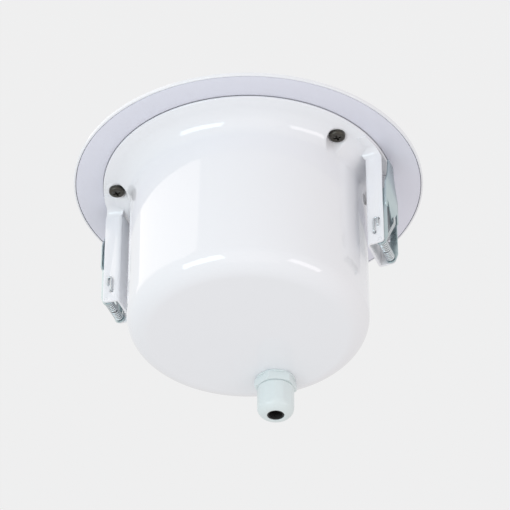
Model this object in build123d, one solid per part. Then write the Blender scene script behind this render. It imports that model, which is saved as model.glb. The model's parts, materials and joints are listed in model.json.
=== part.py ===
"""In-ceiling speaker with a steel back can, two sprung clamps and a cable gland.

Millimetres. The frame is the installed one: +Z points up into the ceiling void, the axis of the
can is Z, and z = 0 is the back face of the mounting ring, which lies against the ceiling.
The two clamps stand on +X and -X, the cable gland on -Y.
"""
from build123d import *
import math
import os

# Grille: a pressed pan with a bevelled edge that wraps the mounting ring
RIM_R = 99.0
RIM_WALL = 1.0
RIM_GAP = 0.45
RIM_EDGE_ROUND = 0.5
LIP_HEIGHT = 1.8
FRONT_DEPTH = 6.8
BEVEL_WIDTH = 13.0
BORDER_WIDTH = 4.0
FIELD_RECESS = 0.6
GRILLE_SHEET = 0.8
GRILLE_HOLE_R = 3.0
GRILLE_HOLE_RINGS = 5
GRILLE_HOLE_MARGIN = 0.65

# Mounting ring: steel annulus with a sunk seat for the can, and the driver's opening
RING_SHEET = 1.2
SEAT_DEPTH = 0.6
SEAT_GAP = 0.3

# Back can: spun steel cup with an outward flange
RIM_BORDER = 16.9
CAN_FLANGE_WIDTH = 15.3
CAN_HEIGHT = 103.0
CAN_SHEET = 1.2
CAN_FOOT_ROUND = 4.8
CAN_END_ROUND = 13.2
GASKET_THICK = 1.0
GASKET_INSET = 1.1
GASKET_WIDTH = 8.2

# Can screws: four pan heads on pressed pads, in two pairs beside the clamps
SCREW_OFF_WALL_RIGHT = 5.0
SCREW_OFF_WALL_LEFT = 7.6
SCREW_PAIR_ANGLE = 24.55
SCREW_PATTERN_TURN = 2.05
SCREW_HEAD_R = 4.5
SCREW_HEAD_H = 2.7
SCREW_HEAD_ROUND = 1.4
SCREW_SHANK_R = 2.3
SCREW_LENGTH = 7.4
SCREW_HOLE_CLEARANCE = 0.3
SCREW_SLOT_LONG = 4.4
SCREW_SLOT_WIDE = 1.1
SCREW_SLOT_DEEP = 1.4
PAD_R = 5.4
PAD_RISE = 1.4

# Clamp bracket: U channel, web towards the can, two feet folded out onto the can flange
BRACKET_OFF_WALL = 6.2
BRACKET_DEPTH = 9.6
BRACKET_WIDTH = 22.0
BRACKET_SHEET = 1.2
BRACKET_END = 66.9
BRACKET_END_DROP = 0.6
BRACKET_END_ROUND = 2.1
BRACKET_CORNER_ROUND = 1.8
FOOT_BEND_R = 4.5
FOOT_REACH = 24.5
FOOT_FLARE = 6.0
FOOT_EDGE_GAP = 0.1
FOOT_ROUND_GAP = 0.1
FOOT_PAD_GAP = 0.3
WEB_START = 5.0
WEB_TONGUE_WIDTH = 15.0

# Hinge pin and the double torsion spring wound on it
PIN_R = 1.0
PIN_CLEARANCE = 0.05
WIRE_R = 0.65
COIL_MEAN_R = 1.95
COIL_TURNS = 6
COIL_SPLIT = 0.6
COIL_EAR_GAP = 0.2
LEG_CROSS_DROP = 4.8
LEG_OUTSIDE_LENGTH = 8.9
LEG_LEAN = 1.0
LEG_BEND_R = 1.2
LEG_WALL_GAP = 0.5
LEG_HOLE_CLEARANCE = 0.5
LOOP_LENGTH = 19.5
LOOP_LIFT = 16.0
LOOP_GAP = 0.2

# Clamp wing: zinc plated leaf with a tongue and two ears on the hinge pin
WING_SIDE_GAP = 0.4
WING_SHEET = 1.0
WING_PROUD = 2.7
WING_TIP = 9.2
WING_TIP_WIDTH = 4.0
WING_SHOULDER = 20.0
WING_EAR_START = 23.0
WING_TONGUE_START = 29.0
WING_TONGUE_END = 47.4
WING_TONGUE_GAP = 1.0
WING_EAR_ROUND = 3.5
WING_EAR_NECK = 1.2
WING_EAR_NECK_DROP = 3.1
WING_EAR_WAIST = 3.6
WING_FOLD_ROUND = 1.0

# Cable gland, nylon, through the can's end
GLAND_OFF_WALL = 22.8
GLAND_HEX_FLATS = 20.8
GLAND_HEX_H = 5.0
GLAND_HEX_TURN = 30.0
GLAND_THREAD_R = 7.9
GLAND_THREAD_LENGTH = 9.0
GLAND_HOLE_GAP = 0.2
GLAND_WASHER_R = 11.0
GLAND_WASHER_H = 1.2
GLAND_COLLAR_R = 8.3
GLAND_COLLAR_H = 9.0
GLAND_BORE_R = 5.7
GLAND_NUT_R = 10.35
GLAND_NUT_START_GAP = 0.4
GLAND_NUT_H = 17.4
GLAND_NUT_ROUND = 5.2
GLAND_NUT_WALL = 1.6
GLAND_NUT_BORE_R = 4.75
GLAND_NUT_FLAT_CUT = 0.35
GLAND_SEAL_R = 5.6
GLAND_SEAL_BORE_R = 3.9
GLAND_SEAL_DEPTH = 12.5
GLAND_SEAL_GAP = 0.4
GLAND_SEAL_SINK = 0.5
LOCK_NUT_FLATS = 19.0
LOCK_NUT_H = 4.5
THREAD_GAP = 0.1

# Driver: pressed basket with motor, on the back of the mounting ring
DRIVER_CAN_GAP = 2.1
DRIVER_EDGE_WIDTH = 10.0
DRIVER_GASKET_THICK = 1.0
SURROUND_EDGE = 0.5
BASKET_SHEET = 1.0
BASKET_FLANGE_WIDTH = 8.5
BASKET_TAPER = 15.0
BASKET_SHELF_WIDTH = 9.0
BASKET_SHELF_Z = 22.0
BASKET_BACK_Z = 30.0
BASKET_BACK_HOLE_R = 16.0
BASKET_WINDOWS = 4
BASKET_WINDOW_ANGLE = 58.0
BASKET_WINDOW_MARGIN = 3.5
DRIVER_SCREW_INSET = 4.2
DRIVER_SCREW_R = 1.9
DRIVER_SCREW_HEAD_R = 3.4
DRIVER_SCREW_HEAD_H = 1.8
DRIVER_SCREW_LENGTH = 8.0
DRIVER_SCREW_COUNT = 4
ROLL_R = 3.4
ROLL_CLEARANCE = 1.2
CONE_LIP = 2.0
CONE_NECK_Z = 19.0
PAPER = 0.6
GLUE_GAP = 0.1
COIL_FORMER_R = 12.8
COIL_FORMER_WALL = 0.2
COIL_FORMER_TOP = 38.0
WINDING_THICK = 0.6
WINDING_LENGTH = 9.0
MOTOR_GAP = 0.5
WHIZZER_REACH = 0.38
WHIZZER_STEEPNESS = 1.35
DUST_CAP_RISE = 4.5
SPIDER_RIDGE = 1.6
SPIDER_RIDGES = 4
TOP_PLATE_R = 30.0
TOP_PLATE_H = 4.0
MAGNET_R = 35.0
MAGNET_BORE_R = 18.0
MAGNET_H = 12.0
YOKE_H = 4.0
TERMINAL_BOARD = (16.0, 6.0, 1.6)
TERMINAL_TAG = (2.8, 7.0, 0.8)
TERMINAL_TAG_SPACING = 8.0

# Line transformer and terminal block on a plate behind the magnet
PLATE = (58.0, 44.0)
PLATE_SHEET = 1.2
PLATE_CORNER_ROUND = 4.0
PLATE_SCREW_R = 2.4
PLATE_SCREW_HEAD_R = 4.2
PLATE_SCREW_HEAD_H = 2.4
PLATE_SCREW_LENGTH = 5.0
CORE = (36.0, 15.0, 30.0)
CORE_LIMB = 9.0
CORE_WINDOW_H = 18.0
CORE_OFFSET_Y = 12.5
BOBBIN_WALL = 0.8
BOBBIN_GAP = 0.2
WINDING_BUILD = 6.0
STRAP_SHEET = 1.0
STRAP_EAR = 7.0
TERMINAL_BLOCK = (24.0, 12.0, 14.0)
TERMINAL_BLOCK_Y = -11.0
TERMINAL_WAYS = 2
TERMINAL_WAY_PITCH = 11.0
TERMINAL_BORE_R = 2.4
TERMINAL_SCREW_R = 1.6
TERMINAL_SCREW_H = 4.0

# Levels and radii that follow from the sizes above
BEVEL_INNER_R = RIM_R - BEVEL_WIDTH
FIELD_R = BEVEL_INNER_R - BORDER_WIDTH
GRILLE_HOLE_PITCH = FIELD_R / (GRILLE_HOLE_RINGS + GRILLE_HOLE_MARGIN)
RING_R = RIM_R - RIM_WALL - RIM_GAP
CAN_FLANGE_R = RIM_R - RIM_BORDER
CAN_R = CAN_FLANGE_R - CAN_FLANGE_WIDTH
DRIVER_R = CAN_R - CAN_SHEET - DRIVER_CAN_GAP
DRIVER_OPENING_R = DRIVER_R - DRIVER_EDGE_WIDTH
DRIVER_SCREW_CIRCLE_R = DRIVER_R - DRIVER_SCREW_INSET
BASKET_MOUTH_R = DRIVER_R - BASKET_FLANGE_WIDTH
BASKET_WAIST_R = BASKET_MOUTH_R - BASKET_TAPER
BASKET_NECK_R = BASKET_WAIST_R - BASKET_SHELF_WIDTH
SEAT_R = CAN_FLANGE_R + SEAT_GAP
SEAT_Z = -SEAT_DEPTH
FLANGE_BOTTOM = SEAT_Z + GASKET_THICK
FLANGE_TOP = FLANGE_BOTTOM + CAN_SHEET
PAD_TOP = FLANGE_TOP + PAD_RISE
RING_FRONT = SEAT_Z - RING_SHEET
ROLL_OUTER_R = DRIVER_OPENING_R - ROLL_CLEARANCE
CONE_EDGE_R = ROLL_OUTER_R - 2 * ROLL_R
CAN_INNER_TOP = CAN_HEIGHT - CAN_SHEET
HALF_WIDTH = BRACKET_WIDTH / 2
BRACKET_INNER = CAN_R + BRACKET_OFF_WALL
BRACKET_OUTER = BRACKET_INNER + BRACKET_DEPTH
FOOT_INNER_R = CAN_R + CAN_FOOT_ROUND + FOOT_ROUND_GAP
WING_FACE = BRACKET_OUTER + WING_PROUD
CHANNEL_HALF = HALF_WIDTH - BRACKET_SHEET
WING_HALF = CHANNEL_HALF - WING_SIDE_GAP
WING_WIDTH = 2 * WING_HALF
EAR_INNER = WING_HALF - WING_SHEET
END_SLOPE = math.atan2(BRACKET_END_DROP, BRACKET_DEPTH)
PIN_X = BRACKET_OUTER - BRACKET_END_ROUND
PIN_Z = (
    BRACKET_END
    - (PIN_X - BRACKET_INNER) * math.tan(END_SLOPE)
    - BRACKET_END_ROUND / math.cos(END_SLOPE)
)
LEG_X = PIN_X - COIL_MEAN_R
LEG_CROSS_Z = PIN_Z - LEG_CROSS_DROP
LEG_END_Z = LEG_CROSS_Z - LEG_OUTSIDE_LENGTH
SURROUND_Z = SEAT_Z + DRIVER_GASKET_THICK
BASKET_Z = SURROUND_Z + SURROUND_EDGE
TOP_PLATE_Z = BASKET_BACK_Z + BASKET_SHEET
MAGNET_Z = TOP_PLATE_Z + TOP_PLATE_H
YOKE_Z = MAGNET_Z + MAGNET_H
PLATE_Z = YOKE_Z + YOKE_H
CORE_Z = PLATE_Z + PLATE_SHEET
POLE_R = COIL_FORMER_R - COIL_FORMER_WALL - MOTOR_GAP
WINDING_R = COIL_FORMER_R + WINDING_THICK
GLAND_OFFSET = CAN_R - GLAND_OFF_WALL
GLAND_BASE = CAN_HEIGHT + GLAND_WASHER_H
GLAND_HEX_TOP = GLAND_BASE + GLAND_HEX_H
GLAND_NUT_BASE = GLAND_HEX_TOP + GLAND_NUT_START_GAP
GLAND_NUT_TOP = GLAND_NUT_BASE + GLAND_NUT_H
GLAND_COLLAR_TOP = GLAND_HEX_TOP + GLAND_COLLAR_H
GLAND_NUT_INNER_R = GLAND_COLLAR_R + THREAD_GAP
GLAND_NUT_CONE_BASE = GLAND_NUT_TOP - GLAND_NUT_ROUND - GLAND_NUT_WALL
GLAND_NUT_CONE_TOP = GLAND_NUT_TOP - GLAND_NUT_WALL
NEAR = 0.01


def turned(*outline):
    """Solid turned about Z from an outline of (radius, z) points."""
    return revolve(Plane.XZ * make_face(Polyline(*outline, close=True)), Axis.Z)


def disc(radius, bottom, top, x=0.0, y=0.0):
    """Upright cylinder between two levels."""
    return Pos(x, y, bottom) * extrude(Circle(radius), top - bottom)


def tube(outer, inner, bottom, top, x=0.0, y=0.0):
    """Upright tube between two levels."""
    return Pos(x, y, bottom) * extrude(Circle(outer) - Circle(inner), top - bottom)


def bar(x0, x1, y0, y1, z0, z1):
    """Box between two corners."""
    return Pos((x0 + x1) / 2, (y0 + y1) / 2, (z0 + z1) / 2) * Box(x1 - x0, y1 - y0, z1 - z0)


def ring_edges(solid, radius, level):
    """Circular edges about Z with this radius at this level."""
    return ShapeList(
        e
        for e in solid.edges().filter_by(GeomType.CIRCLE)
        if abs(e.radius - radius) < NEAR and abs(e.arc_center.Z - level) < NEAR
    )


def round_ring(solid, radius, level, fillet_r):
    """Round the circular edges about Z at this radius and level."""
    return fillet(ring_edges(solid, radius, level), fillet_r)


def wire(*points, bend=LEG_BEND_R):
    """Round wire through the points, with a tangent arc at each corner."""
    path = FilletPolyline(*points, radius=bend)
    return sweep(Plane(origin=path @ 0, z_dir=path % 0) * Circle(WIRE_R), path)


def polar(radius, degrees):
    """Point on a circle about Z."""
    angle = math.radians(degrees)
    return radius * math.cos(angle), radius * math.sin(angle)


def pan_head(head_r, head_h, round_r, shank_r, length, slot):
    """Cross-head screw with its seat at z = 0 and the head above it."""
    head = round_ring(disc(head_r, 0, head_h), head_r, head_h, round_r)
    long, wide, deep = slot
    cross = Pos(0, 0, head_h) * (Box(long, wide, 2 * deep) + Box(wide, long, 2 * deep))
    return head - cross + disc(shank_r, -length, 0)


def screw_places():
    """The can screws' centres: a pair beside each clamp."""
    return [
        polar(CAN_R + off_wall, side + SCREW_PATTERN_TURN + hand * SCREW_PAIR_ANGLE)
        for side, off_wall in ((0, SCREW_OFF_WALL_RIGHT), (180, SCREW_OFF_WALL_LEFT))
        for hand in (1, -1)
    ]


# Front

def hex_grid(rings, pitch):
    """Centres of a hexagonal pattern, ring by ring, about the origin."""
    rise = pitch * math.sqrt(3) / 2
    return [
        ((column + row / 2) * pitch, row * rise)
        for row in range(-rings, rings + 1)
        for column in range(max(-rings, -rings - row), min(rings, rings - row) + 1)
    ]


def make_grille():
    """Perforated front pan: rim, bevel, flat border and a sunk field of holes."""
    slope = (FRONT_DEPTH - LIP_HEIGHT) / (RIM_R - BEVEL_INNER_R)
    skin = GRILLE_SHEET * math.hypot(1, slope)
    rim_inner = RIM_R - RIM_WALL
    border_back = -FRONT_DEPTH + GRILLE_SHEET
    field_front = -FRONT_DEPTH + FIELD_RECESS
    field_back = field_front + GRILLE_SHEET
    bevel_foot = RIM_R - (FRONT_DEPTH - GRILLE_SHEET - LIP_HEIGHT + skin) / slope
    pan = turned(
        (0, field_front),
        (FIELD_R, field_front),
        (FIELD_R, -FRONT_DEPTH),
        (BEVEL_INNER_R, -FRONT_DEPTH),
        (RIM_R, -LIP_HEIGHT),
        (RIM_R, 0),
        (rim_inner, 0),
        (rim_inner, -LIP_HEIGHT - RIM_WALL * slope + skin),
        (bevel_foot, border_back),
        (FIELD_R + FIELD_RECESS, border_back),
        (FIELD_R + FIELD_RECESS, field_back),
        (0, field_back),
    )
    pan = round_ring(pan, RIM_R, 0, RIM_EDGE_ROUND)
    holes = [
        disc(GRILLE_HOLE_R, -FRONT_DEPTH, field_back + GRILLE_SHEET, x, y)
        for x, y in hex_grid(GRILLE_HOLE_RINGS, GRILLE_HOLE_PITCH)
    ]
    return pan - holes


def make_mounting_ring():
    """Steel ring behind the grille, with the can's sunk seat and the driver's opening."""
    step = SEAT_R + RING_SHEET
    ring = turned(
        (DRIVER_OPENING_R, SEAT_Z),
        (SEAT_R, SEAT_Z),
        (SEAT_R, 0),
        (RING_R, 0),
        (RING_R, -RING_SHEET),
        (step, -RING_SHEET),
        (step, RING_FRONT),
        (DRIVER_OPENING_R, RING_FRONT),
    )
    bites = [disc(SCREW_SHANK_R, RING_FRONT, 0, x, y) for x, y in screw_places()]
    ring -= bites
    return ring - [
        disc(DRIVER_SCREW_R + GLUE_GAP, RING_FRONT, 0, x, y) for x, y in driver_screw_places()
    ]


# Back can

def make_flange_gasket():
    """Foam ring between the mounting ring and the can's flange."""
    outer = CAN_FLANGE_R - GASKET_INSET
    ring = tube(outer, outer - GASKET_WIDTH, SEAT_Z, FLANGE_BOTTOM)
    clearance = SCREW_SHANK_R + SCREW_HOLE_CLEARANCE
    return ring - [disc(clearance, SEAT_Z, FLANGE_BOTTOM, x, y) for x, y in screw_places()]


def make_back_can():
    """Deep cup with a flange, rounded foot and end, raised screw pads and the gland's hole."""
    body = turned(
        (0, FLANGE_BOTTOM),
        (CAN_FLANGE_R, FLANGE_BOTTOM),
        (CAN_FLANGE_R, FLANGE_TOP),
        (CAN_R, FLANGE_TOP),
        (CAN_R, CAN_HEIGHT),
        (0, CAN_HEIGHT),
    )
    body = round_ring(body, CAN_R, FLANGE_TOP, CAN_FOOT_ROUND)
    body = round_ring(body, CAN_R, CAN_HEIGHT, CAN_END_ROUND)
    inner_r = CAN_R - CAN_SHEET
    below = FLANGE_BOTTOM - CAN_SHEET
    hollow = turned(
        (0, below),
        (CAN_FLANGE_R, below),
        (CAN_FLANGE_R, FLANGE_BOTTOM),
        (inner_r, FLANGE_BOTTOM),
        (inner_r, CAN_INNER_TOP),
        (0, CAN_INNER_TOP),
    )
    hollow = round_ring(hollow, inner_r, FLANGE_BOTTOM, CAN_FOOT_ROUND + CAN_SHEET)
    hollow = round_ring(hollow, inner_r, CAN_INNER_TOP, CAN_END_ROUND - CAN_SHEET)
    pocket_top = FLANGE_TOP + CAN_FOOT_ROUND + CAN_SHEET
    for x, y in screw_places():
        body += disc(PAD_R, FLANGE_TOP, PAD_TOP, x, y)
        body -= disc(PAD_R, PAD_TOP, pocket_top, x, y)
        hollow -= disc(PAD_R + CAN_SHEET, PAD_TOP - CAN_SHEET, pocket_top, x, y)
        hollow += disc(PAD_R - CAN_SHEET, FLANGE_BOTTOM, PAD_TOP - CAN_SHEET, x, y)
    can = body - hollow
    clearance = SCREW_SHANK_R + SCREW_HOLE_CLEARANCE
    can -= [disc(clearance, FLANGE_BOTTOM, PAD_TOP, x, y) for x, y in screw_places()]
    gland_hole = GLAND_THREAD_R + GLAND_HOLE_GAP
    return can - disc(gland_hole, CAN_INNER_TOP, CAN_HEIGHT, 0, -GLAND_OFFSET)


def make_can_screws():
    """Four self-tapping pan-head screws on the can's flange."""
    slot = (SCREW_SLOT_LONG, SCREW_SLOT_WIDE, SCREW_SLOT_DEEP)
    screw = pan_head(
        SCREW_HEAD_R, SCREW_HEAD_H, SCREW_HEAD_ROUND, SCREW_SHANK_R, SCREW_LENGTH, slot
    )
    return Compound([Pos(x, y, PAD_TOP) * screw for x, y in screw_places()])


# Clamps, modelled on the +X side

def make_bracket():
    """Folded channel with slanted, rounded ends, hinge holes, spring holes and two feet."""
    fold_z = FLANGE_TOP + BRACKET_SHEET + FOOT_BEND_R
    outside = Pos(BRACKET_INNER, 0) * Rectangle(
        2 * BRACKET_DEPTH, BRACKET_WIDTH, align=(Align.CENTER, Align.CENTER)
    )
    inside = Pos(BRACKET_INNER + BRACKET_SHEET, 0) * Rectangle(
        BRACKET_DEPTH, 2 * CHANNEL_HALF, align=(Align.MIN, Align.CENTER)
    )
    front = Pos(BRACKET_INNER, 0) * Rectangle(
        BRACKET_DEPTH, BRACKET_WIDTH, align=(Align.MIN, Align.CENTER)
    )
    section = fillet(
        (outside & front).vertices().sort_by(Axis.X)[:2], BRACKET_CORNER_ROUND
    )
    channel = Pos(0, 0, fold_z) * extrude(section - inside, BRACKET_END - fold_z)
    side = make_face(
        Polyline(
            (BRACKET_INNER, fold_z),
            (BRACKET_OUTER, fold_z),
            (BRACKET_OUTER, BRACKET_END - BRACKET_END_DROP),
            (BRACKET_INNER, BRACKET_END),
            close=True,
        )
    )
    corner = side.vertices().sort_by_distance((BRACKET_OUTER, BRACKET_END))[0]
    side = fillet(corner, BRACKET_END_ROUND)
    channel &= extrude(Plane.XZ * side, HALF_WIDTH, both=True)
    channel += bar(
        BRACKET_INNER,
        BRACKET_INNER + BRACKET_SHEET,
        -WEB_TONGUE_WIDTH / 2,
        WEB_TONGUE_WIDTH / 2,
        WEB_START,
        fold_z,
    )
    foot = make_foot(fold_z)
    bracket = channel + foot + mirror(foot, Plane.XZ)
    for x, y in screw_places():
        bracket -= disc(PAD_R + FOOT_PAD_GAP, FLANGE_TOP, fold_z, abs(x), y)
        bracket -= disc(PAD_R + FOOT_PAD_GAP, FLANGE_TOP, fold_z, abs(x), -y)
    hinge = Plane.XZ * (Pos(PIN_X, PIN_Z) * Circle(PIN_R))
    bracket -= extrude(hinge, HALF_WIDTH, both=True)
    for x, z in ((LEG_X - LEG_LEAN, LEG_CROSS_Z), (LEG_X + LEG_LEAN, LEG_END_Z)):
        hole = Plane.XZ * (Pos(x, z) * Circle(WIRE_R + LEG_HOLE_CLEARANCE))
        bracket -= extrude(hole, HALF_WIDTH, both=True)
    return bracket


def make_foot(fold_z):
    """One foot: a round bend off the side wall and a tab on the can's flange."""
    bend_y = HALF_WIDTH + FOOT_BEND_R
    bend = Circle(FOOT_BEND_R + BRACKET_SHEET) - Circle(FOOT_BEND_R)
    quarter = Rectangle(2 * FOOT_BEND_R, 2 * FOOT_BEND_R, align=(Align.MAX, Align.MAX))
    tab = Pos(0, -FOOT_BEND_R - BRACKET_SHEET) * Rectangle(
        FOOT_REACH - bend_y, BRACKET_SHEET, align=(Align.MIN, Align.MIN)
    )
    profile = Plane.YZ * (Pos(bend_y, fold_z) * ((bend & quarter) + tab))
    foot = Pos(BRACKET_INNER - FOOT_FLARE, 0, 0) * extrude(profile, BRACKET_DEPTH + FOOT_FLARE)
    tab_top = FLANGE_TOP + BRACKET_SHEET
    tab_edge = CAN_FLANGE_R - FOOT_EDGE_GAP
    swath = turned(
        (FOOT_INNER_R, FLANGE_TOP),
        (tab_edge, FLANGE_TOP),
        (tab_edge, tab_top),
        (math.hypot(BRACKET_OUTER, HALF_WIDTH), fold_z),
        (math.hypot(BRACKET_INNER, CHANNEL_HALF), fold_z),
        (FOOT_INNER_R, tab_top),
    )
    return foot & swath


def make_pivot_pin():
    """Hinge pin through both side walls, peened flush."""
    return extrude(Plane.XZ * (Pos(PIN_X, PIN_Z) * Circle(PIN_R)), HALF_WIDTH, both=True)


def make_spring_coil(start, pitch):
    """Close-wound turns about the pin, each turn a ridge, from one y onwards."""
    outer = COIL_MEAN_R + WIRE_R * 1.15
    root = COIL_MEAN_R + WIRE_R / 3
    inner = COIL_MEAN_R - WIRE_R * 0.8
    points = [(inner, start), (root, start)]
    for turn in range(COIL_TURNS):
        points.append((outer, start + (turn + 0.5) * pitch))
        points.append((root, start + (turn + 1) * pitch))
    points.append((inner, start + COIL_TURNS * pitch))
    face = make_face(Polyline(*points, close=True))
    return Pos(PIN_X, 0, PIN_Z) * revolve(face, Axis.Y)


def make_torsion_spring():
    """Double torsion spring: two coils, a loop over the wing's tongue, two hooked legs."""
    coil_end = EAR_INNER - COIL_EAR_GAP
    coil_start = COIL_SPLIT / 2
    pitch = (coil_end - coil_start) / COIL_TURNS
    coil = make_spring_coil(coil_start, pitch)
    leg_y = coil_end - WIRE_R * 1.2
    outside_y = HALF_WIDTH + LEG_WALL_GAP + WIRE_R
    leg = wire(
        (LEG_X, leg_y, PIN_Z),
        (LEG_X - LEG_LEAN, leg_y, LEG_CROSS_Z),
        (LEG_X - LEG_LEAN, outside_y, LEG_CROSS_Z),
        (LEG_X + LEG_LEAN, outside_y, LEG_END_Z),
        (LEG_X + LEG_LEAN, CHANNEL_HALF, LEG_END_Z),
    )
    half = coil + leg
    loop_y = coil_start + WIRE_R * 1.2
    loop_x = PIN_X + COIL_MEAN_R
    on_tongue = WING_FACE + WIRE_R + LOOP_GAP
    loop = wire(
        (loop_x, loop_y, PIN_Z),
        (on_tongue, loop_y, PIN_Z - LOOP_LIFT),
        (on_tongue, loop_y, PIN_Z - LOOP_LENGTH),
        (on_tongue, 0, PIN_Z - LOOP_LENGTH),
        bend=WIRE_R * 1.5,
    )
    half += loop
    return half + mirror(half, Plane.XZ)


def make_wing():
    """Leaf with a cropped tip, a rounded tongue and two ears that turn on the pin."""
    inner_face = WING_FACE - WING_SHEET
    ear_back = PIN_X - WING_EAR_ROUND
    depth = WING_FACE - ear_back
    outside = Pos(ear_back, 0) * Rectangle(depth, WING_WIDTH, align=(Align.MIN, Align.CENTER))
    outside = fillet(outside.vertices().sort_by(Axis.X)[-2:], WING_FOLD_ROUND)
    inside = Pos(ear_back, 0) * Rectangle(
        depth - WING_SHEET, 2 * EAR_INNER, align=(Align.MIN, Align.CENTER)
    )
    top = PIN_Z + WING_EAR_ROUND
    blank = Pos(0, 0, WING_TIP) * extrude(outside - inside, top - WING_TIP)
    leaf_side = make_face(
        Polyline(
            (inner_face, WING_TIP),
            (WING_FACE, WING_TIP),
            (WING_FACE, PIN_Z),
            (inner_face, PIN_Z),
            close=True,
        )
    )
    neck = PIN_X - WING_EAR_NECK
    ear_side = make_face(
        Polyline(
            (inner_face, WING_EAR_START),
            (WING_FACE, WING_EAR_START),
            (WING_FACE, PIN_Z),
            (PIN_X + WING_EAR_ROUND, PIN_Z + WING_EAR_ROUND / 2),
            (PIN_X, PIN_Z),
            (neck, PIN_Z - WING_EAR_NECK_DROP),
            (WING_FACE - WING_EAR_WAIST, WING_TONGUE_END),
            (WING_FACE - WING_EAR_WAIST, WING_EAR_START + WING_EAR_WAIST),
            close=True,
        )
    )
    ear_side += Pos(PIN_X, PIN_Z) * Circle(WING_EAR_ROUND)
    wing = blank & extrude(Plane.XZ * (leaf_side + ear_side), WING_WIDTH, both=True)
    opening = Pos(0, WING_TONGUE_START) * Rectangle(
        2 * EAR_INNER, top - WING_TONGUE_START, align=(Align.CENTER, Align.MIN)
    )
    tongue = Pos(0, WING_TONGUE_START) * Ellipse(
        EAR_INNER - WING_TONGUE_GAP, WING_TONGUE_END - WING_TONGUE_START
    )
    cut = Plane.YZ * (opening - tongue)
    wing -= Pos(inner_face - WING_SHEET, 0, 0) * extrude(cut, 3 * WING_SHEET)
    crop = make_face(
        Polyline(
            (WING_TIP_WIDTH / 2, WING_TIP),
            (WING_HALF, WING_SHOULDER),
            (WING_HALF, WING_TIP),
            close=True,
        )
    )
    crop = Pos(inner_face - WING_SHEET, 0, 0) * extrude(Plane.YZ * crop, 3 * WING_SHEET)
    wing -= [crop, mirror(crop, Plane.XZ)]
    hole = Plane.XZ * (Pos(PIN_X, PIN_Z) * Circle(PIN_R + PIN_CLEARANCE))
    return wing - extrude(hole, WING_WIDTH, both=True)


# Cable gland, modelled on the Z axis

def hexagon(flats, bottom, top):
    """Upright hexagonal prism."""
    return Pos(0, 0, bottom) * extrude(RegularPolygon(flats / 2, 6, major_radius=False), top - bottom)


def make_gland_body():
    """Hexagon with a thread through the can and a collar under the dome nut."""
    body = Rot(0, 0, GLAND_HEX_TURN) * hexagon(GLAND_HEX_FLATS, GLAND_BASE, GLAND_HEX_TOP)
    body += disc(GLAND_THREAD_R, CAN_INNER_TOP - GLAND_THREAD_LENGTH, GLAND_BASE)
    body += disc(GLAND_COLLAR_R, GLAND_HEX_TOP, GLAND_COLLAR_TOP)
    return body - disc(GLAND_BORE_R, CAN_INNER_TOP - GLAND_THREAD_LENGTH, GLAND_COLLAR_TOP)


def make_gland_washer():
    """Flat sealing washer under the hexagon."""
    return tube(GLAND_WASHER_R, GLAND_THREAD_R + GLAND_HOLE_GAP, CAN_HEIGHT, GLAND_BASE)


def make_gland_lock_nut():
    """Thin nut inside the can."""
    nut = hexagon(LOCK_NUT_FLATS, CAN_INNER_TOP - LOCK_NUT_H, CAN_INNER_TOP)
    return nut - disc(GLAND_THREAD_R + THREAD_GAP, CAN_INNER_TOP - LOCK_NUT_H, CAN_INNER_TOP)


def make_gland_dome_nut():
    """Domed clamping nut, almost round, with the cable's hole in its top."""
    nut = disc(GLAND_NUT_R, GLAND_NUT_BASE, GLAND_NUT_TOP)
    nut = round_ring(nut, GLAND_NUT_R, GLAND_NUT_TOP, GLAND_NUT_ROUND)
    nut &= hexagon(2 * (GLAND_NUT_R - GLAND_NUT_FLAT_CUT), GLAND_NUT_BASE, GLAND_NUT_TOP)
    hollow = turned(
        (0, GLAND_NUT_BASE),
        (GLAND_NUT_INNER_R, GLAND_NUT_BASE),
        (GLAND_NUT_INNER_R, GLAND_NUT_CONE_BASE),
        (GLAND_NUT_BORE_R, GLAND_NUT_CONE_TOP),
        (GLAND_NUT_BORE_R, GLAND_NUT_TOP),
        (0, GLAND_NUT_TOP),
    )
    return nut - hollow


def make_gland_seal():
    """Rubber bush in the collar that the nut's cone squeezes, with a neck in the nut's hole."""
    bottom = GLAND_COLLAR_TOP - GLAND_SEAL_DEPTH
    cone_share = (GLAND_NUT_INNER_R - GLAND_SEAL_R) / (GLAND_NUT_INNER_R - GLAND_NUT_BORE_R)
    cone_rise = GLAND_NUT_CONE_TOP - GLAND_NUT_CONE_BASE
    shoulder = GLAND_NUT_CONE_BASE + cone_rise * cone_share - GLAND_SEAL_GAP
    top = GLAND_NUT_TOP - GLAND_SEAL_SINK
    seal = disc(GLAND_SEAL_R, bottom, shoulder) + disc(GLAND_NUT_BORE_R - THREAD_GAP, shoulder, top)
    return seal - disc(GLAND_SEAL_BORE_R, bottom, top)


# Driver

def driver_screw_places():
    """Centres of the driver's mounting screws."""
    step = 360 / DRIVER_SCREW_COUNT
    return [polar(DRIVER_SCREW_CIRCLE_R, step * (n + 0.5)) for n in range(DRIVER_SCREW_COUNT)]


def make_driver_gasket():
    """Ring between the mounting ring and the driver's front edge."""
    ring = tube(DRIVER_R, BASKET_MOUTH_R, SEAT_Z, SURROUND_Z)
    clearance = DRIVER_SCREW_R + GLUE_GAP
    return ring - [disc(clearance, SEAT_Z, SURROUND_Z, x, y) for x, y in driver_screw_places()]


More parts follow.
